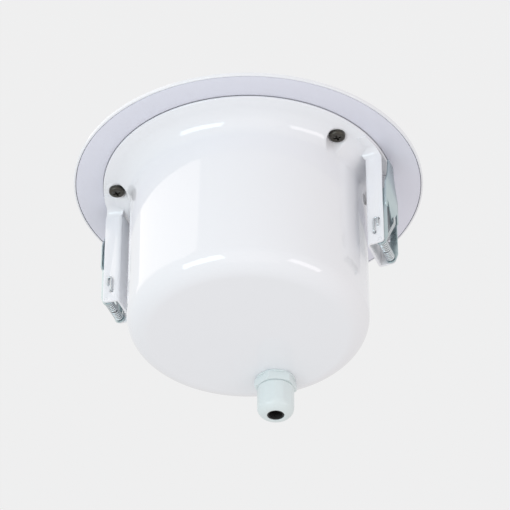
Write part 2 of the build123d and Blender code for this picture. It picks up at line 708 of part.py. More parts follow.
def make_basket():
    """Pressed frame: flange, windowed cone, spider shelf and back plate."""
    t = BASKET_SHEET
    frame = turned(
        (BASKET_MOUTH_R, BASKET_Z),
        (DRIVER_R, BASKET_Z),
        (DRIVER_R, BASKET_Z + t),
        (BASKET_MOUTH_R + t, BASKET_Z + t),
        (BASKET_WAIST_R + t, BASKET_SHELF_Z + t),
        (BASKET_NECK_R + t, BASKET_SHELF_Z + t),
        (BASKET_NECK_R + t, BASKET_BACK_Z + t),
        (BASKET_BACK_HOLE_R, BASKET_BACK_Z + t),
        (BASKET_BACK_HOLE_R, BASKET_BACK_Z),
        (BASKET_NECK_R, BASKET_BACK_Z),
        (BASKET_NECK_R, BASKET_SHELF_Z),
        (BASKET_WAIST_R, BASKET_SHELF_Z),
    )
    low = BASKET_Z + t + BASKET_WINDOW_MARGIN
    high = BASKET_SHELF_Z - BASKET_WINDOW_MARGIN
    step = 360 / BASKET_WINDOWS
    for n in range(BASKET_WINDOWS):
        wedge = make_face(
            Polyline(
                (0, 0),
                polar(2 * DRIVER_R, n * step - BASKET_WINDOW_ANGLE / 2),
                polar(2 * DRIVER_R, n * step + BASKET_WINDOW_ANGLE / 2),
                close=True,
            )
        )
        frame -= Pos(0, 0, low) * extrude(wedge, high - low)
    clearance = DRIVER_SCREW_R + GLUE_GAP
    return frame - [
        disc(clearance, BASKET_Z, BASKET_Z + t, x, y) for x, y in driver_screw_places()
    ]


def make_driver_screws():
    """Screws through the mounting ring into the driver's flange, heads towards the grille."""
    slot = (DRIVER_SCREW_HEAD_R, DRIVER_SCREW_HEAD_R / 4, DRIVER_SCREW_HEAD_H / 2)
    screw = pan_head(
        DRIVER_SCREW_HEAD_R,
        DRIVER_SCREW_HEAD_H,
        DRIVER_SCREW_HEAD_H / 2,
        DRIVER_SCREW_R,
        DRIVER_SCREW_LENGTH,
        slot,
    )
    turned_over = Rot(180, 0, 0) * screw
    return Compound([Pos(x, y, RING_FRONT) * turned_over for x, y in driver_screw_places()])


def make_surround():
    """Rubber roll between the cone's edge and the basket's flange."""
    middle = ROLL_OUTER_R - ROLL_R
    level = SURROUND_Z + SURROUND_EDGE / 2
    roll = Circle(ROLL_R + SURROUND_EDGE / 2) - Circle(ROLL_R - SURROUND_EDGE / 2)
    front = Rectangle(4 * ROLL_R, 2 * ROLL_R, align=(Align.CENTER, Align.MAX))
    lip_end = DRIVER_SCREW_CIRCLE_R - 2 * DRIVER_SCREW_R
    outer_lip = Pos(ROLL_R, 0) * Rectangle(
        lip_end - ROLL_OUTER_R, SURROUND_EDGE, align=(Align.MIN, Align.CENTER)
    )
    inner_lip = Pos(-ROLL_R, 0) * Rectangle(
        CONE_LIP, SURROUND_EDGE, align=(Align.MAX, Align.CENTER)
    )
    profile = Pos(middle, level) * ((roll & front) + outer_lip + inner_lip)
    return revolve(Plane.XZ * profile, Axis.Z)


def make_cone():
    """Paper cone with a flat edge lip and a short neck."""
    edge_z = BASKET_Z + GLUE_GAP
    neck = COIL_FORMER_R + GLUE_GAP
    rise = PAPER * 1.2
    return turned(
        (CONE_EDGE_R, edge_z),
        (CONE_EDGE_R, edge_z + PAPER),
        (CONE_EDGE_R - CONE_LIP, edge_z + PAPER),
        (neck + PAPER, CONE_NECK_Z),
        (neck + PAPER, CONE_NECK_Z + CONE_LIP),
        (neck, CONE_NECK_Z + CONE_LIP),
        (neck, CONE_NECK_Z - rise),
        (CONE_EDGE_R - CONE_LIP, edge_z),
    )


def make_whizzer():
    """Small second cone in front of the neck."""
    neck = COIL_FORMER_R + GLUE_GAP
    back = CONE_NECK_Z - 2 * PAPER - GLUE_GAP
    run = WHIZZER_REACH * (CONE_EDGE_R - neck)
    cone_slope = (CONE_NECK_Z - BASKET_Z) / (CONE_EDGE_R - CONE_LIP - neck)
    front = back - WHIZZER_STEEPNESS * cone_slope * run
    return turned(
        (neck, back),
        (neck + PAPER, back),
        (neck + run, front + PAPER),
        (neck + run, front),
        (neck, back - 2 * PAPER),
    )


def make_dust_cap():
    """Shallow dome over the end of the voice coil."""
    radius = COIL_FORMER_R - COIL_FORMER_WALL - GLUE_GAP
    base = CONE_NECK_Z - CONE_LIP
    bulge = (radius**2 + DUST_CAP_RISE**2) / (2 * DUST_CAP_RISE)
    shell = Sphere(bulge) - Sphere(bulge - PAPER)
    dome = Pos(0, 0, base - DUST_CAP_RISE + bulge) * shell
    return dome & disc(radius, base - DUST_CAP_RISE - PAPER, base)


def make_voice_coil_former():
    """Tube that joins cone, spider and winding."""
    start = CONE_NECK_Z - CONE_LIP
    return tube(COIL_FORMER_R, COIL_FORMER_R - COIL_FORMER_WALL, start, COIL_FORMER_TOP)


def make_voice_coil_winding():
    """Copper winding on the end of the former, in the motor's gap."""
    return tube(WINDING_R, COIL_FORMER_R, COIL_FORMER_TOP - WINDING_LENGTH, COIL_FORMER_TOP)


def make_spider():
    """Corrugated cloth ring that centres the voice coil."""
    inner = COIL_FORMER_R + GLUE_GAP
    outer = BASKET_NECK_R
    level = BASKET_SHELF_Z - PAPER
    run = (outer - inner - 2 * CONE_LIP) / (2 * SPIDER_RIDGES)
    front = [(inner, level), (inner + CONE_LIP, level)]
    for ridge in range(SPIDER_RIDGES):
        start = inner + CONE_LIP + 2 * ridge * run
        front.append((start + run, level - SPIDER_RIDGE))
        front.append((start + 2 * run, level))
    front.append((BASKET_WAIST_R - CONE_LIP, level))
    back = [(r, z + PAPER - GLUE_GAP) for r, z in reversed(front)]
    return turned(*front, *back)


def make_top_plate():
    """Front plate of the motor."""
    return tube(TOP_PLATE_R, WINDING_R + MOTOR_GAP, TOP_PLATE_Z, MAGNET_Z)


def make_magnet_ring():
    """Ferrite ring."""
    return tube(MAGNET_R, MAGNET_BORE_R, MAGNET_Z, YOKE_Z)


def make_pole_yoke():
    """Back plate and pole piece in one turning, with a tapped hole in its back."""
    yoke = disc(TOP_PLATE_R, YOKE_Z, PLATE_Z) + disc(POLE_R, TOP_PLATE_Z, YOKE_Z)
    return yoke - disc(PLATE_SCREW_R, PLATE_Z - PLATE_SCREW_LENGTH, PLATE_Z)


def make_driver_terminals():
    """Tag board on the basket's flange with two solder tags."""
    long, wide, thick = TERMINAL_BOARD
    tag_w, tag_l, tag_t = TERMINAL_TAG
    centre = (BASKET_MOUTH_R + BASKET_SHEET + DRIVER_R) / 2
    bottom = BASKET_Z + BASKET_SHEET
    board = bar(-long / 2, long / 2, centre - wide / 2, centre + wide / 2, bottom, bottom + thick)
    board &= disc(DRIVER_R, bottom, bottom + thick)
    for side in (-1, 1):
        x = side * TERMINAL_TAG_SPACING / 2
        board += bar(
            x - tag_w / 2, x + tag_w / 2, centre - tag_t / 2, centre + tag_t / 2,
            bottom + thick, bottom + thick + tag_l,
        )
    return board


# Line transformer

def make_transformer_plate():
    """Steel plate screwed to the back of the motor."""
    plate = RectangleRounded(*PLATE, PLATE_CORNER_ROUND) - Circle(PLATE_SCREW_R + GLUE_GAP)
    return Pos(0, 0, PLATE_Z) * extrude(plate, PLATE_SHEET)


def make_plate_screw():
    """Screw that holds the transformer's plate on the motor."""
    slot = (PLATE_SCREW_HEAD_R, PLATE_SCREW_HEAD_R / 4, PLATE_SCREW_HEAD_H / 2)
    screw = pan_head(
        PLATE_SCREW_HEAD_R,
        PLATE_SCREW_HEAD_H,
        PLATE_SCREW_HEAD_H / 2,
        PLATE_SCREW_R - GLUE_GAP,
        PLATE_SHEET + PLATE_SCREW_LENGTH - GLUE_GAP,
        slot,
    )
    return Pos(0, 0, CORE_Z) * screw


def make_transformer_core():
    """Stack of E and I laminations with two winding windows."""
    long, thick, high = CORE
    core = bar(-long / 2, long / 2, -thick / 2, thick / 2, 0, high)
    window = (long - CORE_LIMB - (high - CORE_WINDOW_H)) / 2
    for side in (-1, 1):
        middle = side * (CORE_LIMB + window) / 2
        margin = (high - CORE_WINDOW_H) / 2
        core -= bar(
            middle - window / 2, middle + window / 2, -thick, thick, margin, high - margin
        )
    return Pos(0, CORE_OFFSET_Y, CORE_Z) * core


def bobbin_limits():
    """Half width, half depth and the two levels of the bobbin's barrel."""
    margin = (CORE[2] - CORE_WINDOW_H) / 2
    half_x = CORE_LIMB / 2 + BOBBIN_GAP + BOBBIN_WALL
    half_y = CORE[1] / 2 + BOBBIN_GAP + BOBBIN_WALL
    return half_x, half_y, margin + BOBBIN_GAP, CORE[2] - margin - BOBBIN_GAP


def make_transformer_bobbin():
    """Moulded bobbin: a square barrel with a flange at each end."""
    half_x, half_y, low, high = bobbin_limits()
    reach = WINDING_BUILD
    barrel = bar(-half_x, half_x, -half_y, half_y, low, high)
    for start in (low, high - BOBBIN_WALL):
        barrel += bar(
            -half_x - reach, half_x + reach, -half_y - reach, half_y + reach,
            start, start + BOBBIN_WALL,
        )
    core_x = half_x - BOBBIN_WALL
    core_y = half_y - BOBBIN_WALL
    barrel -= bar(-core_x, core_x, -core_y, core_y, low, high)
    return Pos(0, CORE_OFFSET_Y, CORE_Z) * barrel


def make_transformer_winding():
    """Wound and taped copper on the bobbin."""
    half_x, half_y, low, high = bobbin_limits()
    reach = WINDING_BUILD - BOBBIN_WALL
    level = low + BOBBIN_WALL + GLUE_GAP
    block = RectangleRounded(2 * (half_x + reach), 2 * (half_y + reach), reach)
    block -= Rectangle(2 * half_x, 2 * half_y)
    height = high - BOBBIN_WALL - GLUE_GAP - level
    return Pos(0, CORE_OFFSET_Y, CORE_Z + level) * extrude(block, height)


def make_transformer_strap():
    """Steel strap over the core with two feet on the plate."""
    long, thick, high = CORE
    outer = long / 2 + STRAP_SHEET
    strap = bar(-outer, outer, -thick / 2, thick / 2, 0, high + STRAP_SHEET)
    strap -= bar(-long / 2, long / 2, -thick, thick, 0, high)
    for side in (-1, 1):
        x0, x1 = sorted((side * outer, side * (outer + STRAP_EAR)))
        strap += bar(x0, x1, -thick / 2, thick / 2, 0, STRAP_SHEET)
    return Pos(0, CORE_OFFSET_Y, CORE_Z) * strap


def make_terminal_block():
    """Ceramic block with a cross bore and a screw well in each way."""
    long, wide, high = TERMINAL_BLOCK
    block = bar(-long / 2, long / 2, -wide / 2, wide / 2, 0, high)
    for n in range(TERMINAL_WAYS):
        x = (n - (TERMINAL_WAYS - 1) / 2) * TERMINAL_WAY_PITCH
        bore = Plane.XZ * (Pos(x, high / 2) * Circle(TERMINAL_BORE_R))
        block -= extrude(bore, wide, both=True)
        block -= disc(TERMINAL_SCREW_R + GLUE_GAP, high / 2, high, x, 0)
    return Pos(0, TERMINAL_BLOCK_Y, CORE_Z) * block


def make_terminal_screws():
    """Brass clamping screws in the ceramic block."""
    high = TERMINAL_BLOCK[2]
    top = high - GLUE_GAP
    screws = []
    for n in range(TERMINAL_WAYS):
        x = (n - (TERMINAL_WAYS - 1) / 2) * TERMINAL_WAY_PITCH
        screw = disc(TERMINAL_SCREW_R, top - TERMINAL_SCREW_H, top, x, 0)
        screw -= Pos(x, 0, top) * Box(2 * TERMINAL_SCREW_R, GLUE_GAP * 6, TERMINAL_SCREW_R)
        screws.append(Pos(0, TERMINAL_BLOCK_Y, CORE_Z) * screw)
    return Compound(screws)


def other_side(shape):
    """The same piece on the -X clamp."""
    return Rot(0, 0, 180) * shape


def at_gland(shape):
    """Move a piece of the gland from the Z axis to its hole."""
    return Pos(0, -GLAND_OFFSET, 0) * shape


def build_parts():
    """All pieces by node name."""
    parts = {
        "grille": make_grille(),
        "mounting_ring": make_mounting_ring(),
        "flange_gasket": make_flange_gasket(),
        "back_can": make_back_can(),
        "can_screws": make_can_screws(),
    }
    clamp = {
        "clamp_bracket": make_bracket(),
        "clamp_wing": make_wing(),
        "pivot_pin": make_pivot_pin(),
        "torsion_spring": make_torsion_spring(),
    }
    for name, shape in clamp.items():
        parts[name + "_right"] = shape
        parts[name + "_left"] = other_side(shape)
    parts["gland_body"] = at_gland(make_gland_body())
    parts["gland_washer"] = at_gland(make_gland_washer())
    parts["gland_lock_nut"] = at_gland(make_gland_lock_nut())
    parts["gland_seal"] = at_gland(make_gland_seal())
    parts["gland_dome_nut"] = at_gland(make_gland_dome_nut())
    parts["driver_basket"] = make_basket()
    parts["driver_gasket"] = make_driver_gasket()
    parts["driver_screws"] = make_driver_screws()
    parts["driver_terminals"] = make_driver_terminals()
    parts["surround"] = make_surround()
    parts["cone"] = make_cone()
    parts["whizzer_cone"] = make_whizzer()
    parts["dust_cap"] = make_dust_cap()
    parts["voice_coil_former"] = make_voice_coil_former()
    parts["voice_coil_winding"] = make_voice_coil_winding()
    parts["spider"] = make_spider()
    parts["top_plate"] = make_top_plate()
    parts["magnet_ring"] = make_magnet_ring()
    parts["pole_yoke"] = make_pole_yoke()
    parts["transformer_plate"] = make_transformer_plate()
    parts["plate_screw"] = make_plate_screw()
    parts["transformer_core"] = make_transformer_core()
    parts["transformer_bobbin"] = make_transformer_bobbin()
    parts["transformer_winding"] = make_transformer_winding()
    parts["transformer_strap"] = make_transformer_strap()
    parts["terminal_block"] = make_terminal_block()
    parts["terminal_screws"] = make_terminal_screws()
    return parts


os.makedirs("parts", exist_ok=True)
for node, shape in build_parts().items():
    export_step(shape, f"parts/{node}.step")
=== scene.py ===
"""Looks of an in-ceiling speaker: white back can, sprung clamps and a domed cable gland.

Everything is in metres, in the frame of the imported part: +Z points up into the ceiling void, the can's axis
is Z, and z = 0 is the back face of the mounting ring. The clamps stand on +X and -X, the gland on -Y.
"""
from __future__ import annotations

import json
import logging
import math
from dataclasses import dataclass
from enum import Enum

import bmesh
import bpy
from mathutils import Matrix, Vector, geometry

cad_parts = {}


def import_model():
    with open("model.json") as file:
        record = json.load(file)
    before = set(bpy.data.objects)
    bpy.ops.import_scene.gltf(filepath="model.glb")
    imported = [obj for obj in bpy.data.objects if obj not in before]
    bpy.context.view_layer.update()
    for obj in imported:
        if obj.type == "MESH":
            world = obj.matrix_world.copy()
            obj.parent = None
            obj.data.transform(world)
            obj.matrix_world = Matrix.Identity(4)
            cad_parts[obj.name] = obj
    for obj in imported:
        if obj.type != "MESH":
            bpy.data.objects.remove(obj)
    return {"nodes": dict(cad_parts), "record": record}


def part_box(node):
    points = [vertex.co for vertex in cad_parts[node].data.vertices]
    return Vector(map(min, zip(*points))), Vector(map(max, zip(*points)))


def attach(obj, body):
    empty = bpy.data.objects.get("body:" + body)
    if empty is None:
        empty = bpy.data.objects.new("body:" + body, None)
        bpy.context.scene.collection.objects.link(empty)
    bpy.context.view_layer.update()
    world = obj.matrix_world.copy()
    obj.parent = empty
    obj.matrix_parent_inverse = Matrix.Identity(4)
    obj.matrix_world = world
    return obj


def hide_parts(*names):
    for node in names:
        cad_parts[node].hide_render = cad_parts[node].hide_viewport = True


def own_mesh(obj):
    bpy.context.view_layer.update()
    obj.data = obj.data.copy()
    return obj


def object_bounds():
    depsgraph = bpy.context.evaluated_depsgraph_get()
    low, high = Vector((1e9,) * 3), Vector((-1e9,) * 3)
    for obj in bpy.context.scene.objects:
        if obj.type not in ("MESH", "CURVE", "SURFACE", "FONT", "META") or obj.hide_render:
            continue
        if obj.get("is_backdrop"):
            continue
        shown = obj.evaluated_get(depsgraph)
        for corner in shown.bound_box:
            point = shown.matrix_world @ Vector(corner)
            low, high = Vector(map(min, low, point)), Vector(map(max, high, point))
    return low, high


LOG = logging.getLogger("ceiling_speaker")
MM = 0.001
BODY = "speaker"
Point2 = tuple[float, float]
Colour = tuple[float, float, float]
CLOUD_SCALE = 55.0
CLOUD_DETAIL = 3.0
BUMP_DEPTH = 0.05 * MM
MERGE = 1e-6
SOFTEN_ABOVE_DEG = 35.0
FLAT_WITHIN_DEG = 0.5
BEND_SHARE = 0.45


class Side(Enum):
    """The two clamps: their name and their half turn about Z."""

    RIGHT = ("right", 0.0)
    LEFT = ("left", math.pi)

    @property
    def label(self) -> str:
        """Name used in node names."""
        return self.value[0]

    @property
    def turn(self) -> Matrix:
        """Turn from the +X clamp to this one."""
        return Matrix.Rotation(self.value[1], 4, "Z")


class Texture(Enum):
    """Kinds of fine surface: noise scale per metre, noise detail."""

    POWDER_COAT = (900.0, 3.0)
    MOULDED = (600.0, 2.0)
    PLATED = (260.0, 5.0)
    CLOTH = (1800.0, 2.0)


def fine_surface_group() -> bpy.types.NodeTree:
    """Shared effect: cloudy change of colour and a fine height from object-space noise.

    Returns:
        The node group, made on the first call.
    """
    name = "fine_surface"
    if name in bpy.data.node_groups:
        return bpy.data.node_groups[name]
    group = bpy.data.node_groups.new(name, "ShaderNodeTree")
    sockets = group.interface
    sockets.new_socket("Colour", in_out="INPUT", socket_type="NodeSocketColor")
    for label in ("Scale", "Detail", "Cloud", "Roughness", "Roughness Change"):
        sockets.new_socket(label, in_out="INPUT", socket_type="NodeSocketFloat")
    sockets.new_socket("Colour", in_out="OUTPUT", socket_type="NodeSocketColor")
    sockets.new_socket("Roughness", in_out="OUTPUT", socket_type="NodeSocketFloat")
    sockets.new_socket("Height", in_out="OUTPUT", socket_type="NodeSocketFloat")
    nodes, links = group.nodes, group.links
    start = nodes.new("NodeGroupInput")
    end = nodes.new("NodeGroupOutput")
    place = nodes.new("ShaderNodeTexCoord")
    fine = nodes.new("ShaderNodeTexNoise")
    cloud = nodes.new("ShaderNodeTexNoise")
    cloud.inputs["Scale"].default_value = CLOUD_SCALE
    cloud.inputs["Detail"].default_value = CLOUD_DETAIL
    centred = nodes.new("ShaderNodeMath")
    centred.operation = "SUBTRACT"
    centred.inputs[1].default_value = 0.5
    shade = nodes.new("ShaderNodeMath")
    shade.operation = "MULTIPLY_ADD"
    shade.inputs[2].default_value = 1.0
    tint = nodes.new("ShaderNodeMix")
    tint.data_type = "RGBA"
    tint.blend_type = "MULTIPLY"
    tint.inputs["Factor"].default_value = 1.0
    rough = nodes.new("ShaderNodeMath")
    rough.operation = "MULTIPLY_ADD"
    links.new(place.outputs["Object"], fine.inputs["Vector"])
    links.new(place.outputs["Object"], cloud.inputs["Vector"])
    links.new(start.outputs["Scale"], fine.inputs["Scale"])
    links.new(start.outputs["Detail"], fine.inputs["Detail"])
    links.new(cloud.outputs["Fac"], centred.inputs[0])
    links.new(centred.outputs[0], shade.inputs[0])
    links.new(start.outputs["Cloud"], shade.inputs[1])
    links.new(start.outputs["Colour"], tint.inputs["A"])
    links.new(shade.outputs[0], tint.inputs["B"])
    links.new(centred.outputs[0], rough.inputs[0])
    links.new(start.outputs["Roughness Change"], rough.inputs[1])
    links.new(start.outputs["Roughness"], rough.inputs[2])
    links.new(tint.outputs["Result"], end.inputs["Colour"])
    links.new(rough.outputs[0], end.inputs["Roughness"])
    links.new(fine.outputs["Fac"], end.inputs["Height"])
    return group


@dataclass(frozen=True)
class Finish:
    """One finish of the speaker, with the record's slot it stands for."""

    slot: str
    colour: Colour
    roughness: float
    metallic: float = 0.0
    coat: float = 0.0
    coat_roughness: float = 0.15
    coat_ior: float = 1.5
    specular: float = 0.5
    texture: Texture = Texture.POWDER_COAT
    cloud: float = 0.02
    roughness_change: float = 0.05
    bump: float = 0.0

    def material(self) -> bpy.types.Material:
        """Principled material of this finish.

        Returns:
            The material, made on the first call.
        """
        name = f"{self.slot}_finish"
        if name in bpy.data.materials:
            return bpy.data.materials[name]
        material = bpy.data.materials.new(name)
        material.use_nodes = True
        nodes, links = material.node_tree.nodes, material.node_tree.links
        shader = nodes["Principled BSDF"]
        shader.inputs["Metallic"].default_value = self.metallic
        shader.inputs["Coat Weight"].default_value = self.coat
        shader.inputs["Coat Roughness"].default_value = self.coat_roughness
        shader.inputs["Coat IOR"].default_value = self.coat_ior
        shader.inputs["Specular IOR Level"].default_value = self.specular
        surface = nodes.new("ShaderNodeGroup")
        surface.node_tree = fine_surface_group()
        scale, detail = self.texture.value
        surface.inputs["Colour"].default_value = (*self.colour, 1.0)
        surface.inputs["Scale"].default_value = scale
        surface.inputs["Detail"].default_value = detail
        surface.inputs["Cloud"].default_value = self.cloud
        surface.inputs["Roughness"].default_value = self.roughness
        surface.inputs["Roughness Change"].default_value = self.roughness_change
        links.new(surface.outputs["Colour"], shader.inputs["Base Color"])
        links.new(surface.outputs["Roughness"], shader.inputs["Roughness"])
        if self.bump:
            bump = nodes.new("ShaderNodeBump")
            bump.inputs["Strength"].default_value = self.bump
            bump.inputs["Distance"].default_value = BUMP_DEPTH
            links.new(surface.outputs["Height"], bump.inputs["Height"])
            links.new(bump.outputs["Normal"], shader.inputs["Normal"])
        return material


WHITE_ENAMEL = Finish(
    "white_enamel",
    (0.86, 0.87, 0.90),
    0.5,
    coat=1.0,
    coat_roughness=0.03,
    coat_ior=1.7,
    specular=0.0,
    cloud=0.01,
    bump=0.01,
)
RING_ENAMEL = Finish("ring_enamel", (0.745, 0.752, 0.835), 0.5, coat=0.3, cloud=0.02, bump=0.05)
ZINC = Finish(
    "zinc_plate", (0.52, 0.612, 0.63), 0.3, 1.0, texture=Texture.PLATED, cloud=0.3, roughness_change=0.2
)
SPRING_WIRE = Finish("spring_wire", (0.62, 0.66, 0.68), 0.26, 1.0, texture=Texture.PLATED, cloud=0.2)
DARK_SCREW = Finish("dark_screw", (0.085, 0.08, 0.07), 0.3, 1.0, texture=Texture.PLATED, cloud=0.5)
SPIDER_CLOTH = Finish("spider_cloth", (0.62, 0.44, 0.20), 0.9, texture=Texture.CLOTH, bump=0.5)
WHITE_NYLON = Finish("white_nylon", (0.73, 0.80, 0.805), 0.3, texture=Texture.MOULDED, bump=0.05)
FINISHES = (
    WHITE_ENAMEL,
    RING_ENAMEL,
    ZINC,
    SPRING_WIRE,
    DARK_SCREW,
    WHITE_NYLON,
    SPIDER_CLOTH,
    Finish("black_foam", (0.03, 0.03, 0.03), 0.95, texture=Texture.CLOTH, bump=0.5),
    Finish("black_rubber", (0.02, 0.02, 0.02), 0.6, texture=Texture.MOULDED, bump=0.1),
    Finish("black_enamel", (0.03, 0.03, 0.03), 0.35),
    Finish("tag_board", (0.30, 0.20, 0.11), 0.7, texture=Texture.CLOTH),
    Finish("cone_paper", (0.05, 0.05, 0.05), 0.9, texture=Texture.CLOTH, bump=0.5),
    Finish("coil_former", (0.80, 0.80, 0.82), 0.35, 1.0),
    Finish("copper", (0.72, 0.36, 0.20), 0.4, 1.0),
    Finish("ferrite", (0.08, 0.08, 0.09), 0.7, texture=Texture.MOULDED, bump=0.2),
    Finish("lamination", (0.16, 0.16, 0.17), 0.55, 0.6, texture=Texture.PLATED),
    Finish("winding_tape", (0.80, 0.68, 0.22), 0.5),
    Finish("ceramic", (0.90, 0.89, 0.85), 0.25),
    Finish("brass_screw", (0.78, 0.62, 0.30), 0.35, 1.0),
)


# Mesh tools


def place(name: str, mesh: bpy.types.Mesh, finish: Finish, body: str, *nodes: str) -> bpy.types.Object:
    """Put a finished mesh into the scene as a piece of the speaker.

    Args:
        name: Name of the piece.
        mesh: Its mesh, in the part's frame.
        finish: Finish it is dressed with.
        body: Body it moves with.
        nodes: Nodes of the part that it stands for.

    Returns:
        The new object.
    """
    piece = bpy.data.objects.new(name, mesh)
    bpy.context.scene.collection.objects.link(piece)
    mesh.materials.clear()
    mesh.materials.append(finish.material())
    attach(piece, body)
    if nodes:
        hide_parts(*nodes)
    LOG.info("%s: %d faces on %s", name, len(mesh.polygons), body)
    return piece


def smooth_mesh(name: str, work: bmesh.types.BMesh, sharp_deg: float = 40.0) -> bpy.types.Mesh:
    """Turn a bmesh into a smooth-shaded mesh with sharp edges above an angle.

    Args:
        name: Name of the mesh.
        work: The bmesh, which is freed.
        sharp_deg: Angle above which an edge stays sharp, in degrees.

    Returns:
        The new mesh.
    """
    bmesh.ops.recalc_face_normals(work, faces=work.faces)
    mesh = bpy.data.meshes.new(name)
    work.to_mesh(mesh)
    work.free()
    mesh.shade_smooth()
    mesh.set_sharp_from_angle(angle=math.radians(sharp_deg))
    return mesh


def arc(centre: Point2, radius: float, start_deg: float, end_deg: float, steps: int) -> list[Point2]:
    """Points along an arc in a profile plane.

    Args:
        centre: Centre as (radius, z).
        radius: Radius of the arc.
        start_deg: Angle of the first point, in degrees.
        end_deg: Angle of the last point, in degrees.
        steps: Number of chords.

    Returns:
        The points, both ends among them.
    """
    points = []
    for step in range(steps + 1):
        angle = math.radians(start_deg + (end_deg - start_deg) * step / steps)
        points.append((centre[0] + radius * math.cos(angle), centre[1] + radius * math.sin(angle)))
    return points


def even_angles(count: int) -> list[float]:
    """Angles of evenly spaced steps of a full turn, in radians."""
    return [2 * math.pi * step / count for step in range(count)]


def circle(centre: Point2, radius: float, count: int) -> list[Point2]:
    """Points round a circle.

    Args:
        centre: Its centre as (x, y).
        radius: Its radius.
        count: Number of points.

    Returns:
        The points, anticlockwise.
    """
    x, y = centre
    return [(x + radius * math.cos(a), y + radius * math.sin(a)) for a in even_angles(count)]


def turned_bmesh(
    profile: list[Point2], angles: list[float], centre: Point2 = (0.0, 0.0)
) -> bmesh.types.BMesh:
    """Closed profile turned about an upright axis.

    Args:
        profile: Outline as (radius, z), closed from its last point to its first.
        angles: Angles of the rings, in radians.
        centre: The axis as (x, y).

    Returns:
        The turned bmesh, with the points on the axis joined.
    """
    work = bmesh.new()
    rings = []
    for angle in angles:
        cos, sin = math.cos(angle), math.sin(angle)
        rings.append(
            [work.verts.new((centre[0] + r * cos, centre[1] + r * sin, z)) for r, z in profile]
        )
    count = len(profile)
    for index, ring in enumerate(rings):
        after = rings[(index + 1) % len(rings)]
        for low in range(count):
            high = (low + 1) % count
            if profile[low][0] < 1e-9 and profile[high][0] < 1e-9:
                continue
            work.faces.new((ring[low], ring[high], after[high], after[low]))
    bmesh.ops.remove_doubles(work, verts=work.verts, dist=1e-7)
    return work


def wire_bmesh(path: list[Vector], radius: float, sides: int = 12) -> bmesh.types.BMesh:
    """Round wire along a path, with closed ends.

    Args:
        path: Points along the wire's middle line.
        radius: Radius of the wire.
        sides: Sides of its section.

    Returns:
        The wire's bmesh.
    """
    work = bmesh.new()
    along = (path[1] - path[0]).normalized()
    across = along.orthogonal().normalized()
    rings = []
    for index, point in enumerate(path):
        before = path[max(index - 1, 0)]
        after = path[min(index + 1, len(path) - 1)]
        heading = (after - before).normalized()
        across = (across - heading * across.dot(heading)).normalized()
        other = heading.cross(across)
        ring = []
        for angle in even_angles(sides):
            offset = across * math.cos(angle) + other * math.sin(angle)
            ring.append(work.verts.new(point + offset * radius))
        rings.append(ring)
    for ring, after in zip(rings, rings[1:]):
        for low in range(sides):
            high = (low + 1) % sides
            work.faces.new((ring[low], ring[high], after[high], after[low]))
    work.faces.new(list(reversed(rings[0])))
    work.faces.new(rings[-1])
    return work


def rounded_path(points: list[Vector], radius: float, steps: int = 8) -> list[Vector]:
    """Path through points with each corner rounded.

    Args:
        points: Corner points.
        radius: How far before and after a corner the bend starts.
        steps: Chords in each bend.

    Returns:
        The rounded path.
    """
    path = [points[0]]
    for before, corner, after in zip(points, points[1:], points[2:]):
        reach_in = min(radius, (before - corner).length * BEND_SHARE)
        reach_out = min(radius, (after - corner).length * BEND_SHARE)
        start = corner + (before - corner).normalized() * reach_in
        end = corner + (after - corner).normalized() * reach_out
        for step in range(steps + 1):
            t = step / steps
            path.append(start * (1 - t) ** 2 + corner * 2 * t * (1 - t) + end * t**2)
    path.append(points[-1])
    return path


def soften(work: bmesh.types.BMesh, width: float, segments: int = 2) -> None:
    """Round the sharp edges of a bmesh a little.

    Args:
        work: The bmesh.
        width: Width of the rounding.
        segments: Steps of the rounding.
    """
    sharp = [
        edge
        for edge in work.edges
        if len(edge.link_faces) == 2 and edge.calc_face_angle(0.0) > math.radians(SOFTEN_ABOVE_DEG)
    ]
    bmesh.ops.bevel(
        work,
        geom=sharp,
        offset=width,
        offset_type="OFFSET",
        segments=segments,
        profile=0.5,
        affect="EDGES",
        clamp_overlap=True,
    )


def add_plate(work: bmesh.types.BMesh, outline: list[Vector], across: Vector) -> None:
    """Add a flat plate to a bmesh.

    Args:
        work: The bmesh.
        outline: Corners of one face of the plate.
        across: Way from this face to the other.
    """
    count = len(outline)
    first = [work.verts.new(corner) for corner in outline]
    other = [work.verts.new(corner + across) for corner in outline]
    work.faces.new(first)
    work.faces.new(list(reversed(other)))
    for low in range(count):
        high = (low + 1) % count
        work.faces.new((first[high], first[low], other[low], other[high]))


def softened_copy(node: bpy.types.Object, name: str, width: float, segments: int = 2) -> bpy.types.Mesh:
    """Copy of a node's mesh with its sharp edges rounded a little.

    Args:
        node: The node's object.
        name: Name of the new mesh.
        width: Width of the rounding.
        segments: Steps of the rounding.

    Returns:
        The new mesh.
    """
    work = bmesh.new()
    work.from_mesh(node.data)
    bmesh.ops.remove_doubles(work, verts=work.verts, dist=MERGE)
    bmesh.ops.dissolve_limit(
        work,
        angle_limit=math.radians(FLAT_WITHIN_DEG),
        verts=work.verts,
        edges=work.edges,
        delimit=set(),
    )
    soften(work, width, segments)
    return smooth_mesh(name, work)


# The speaker's sub-assemblies


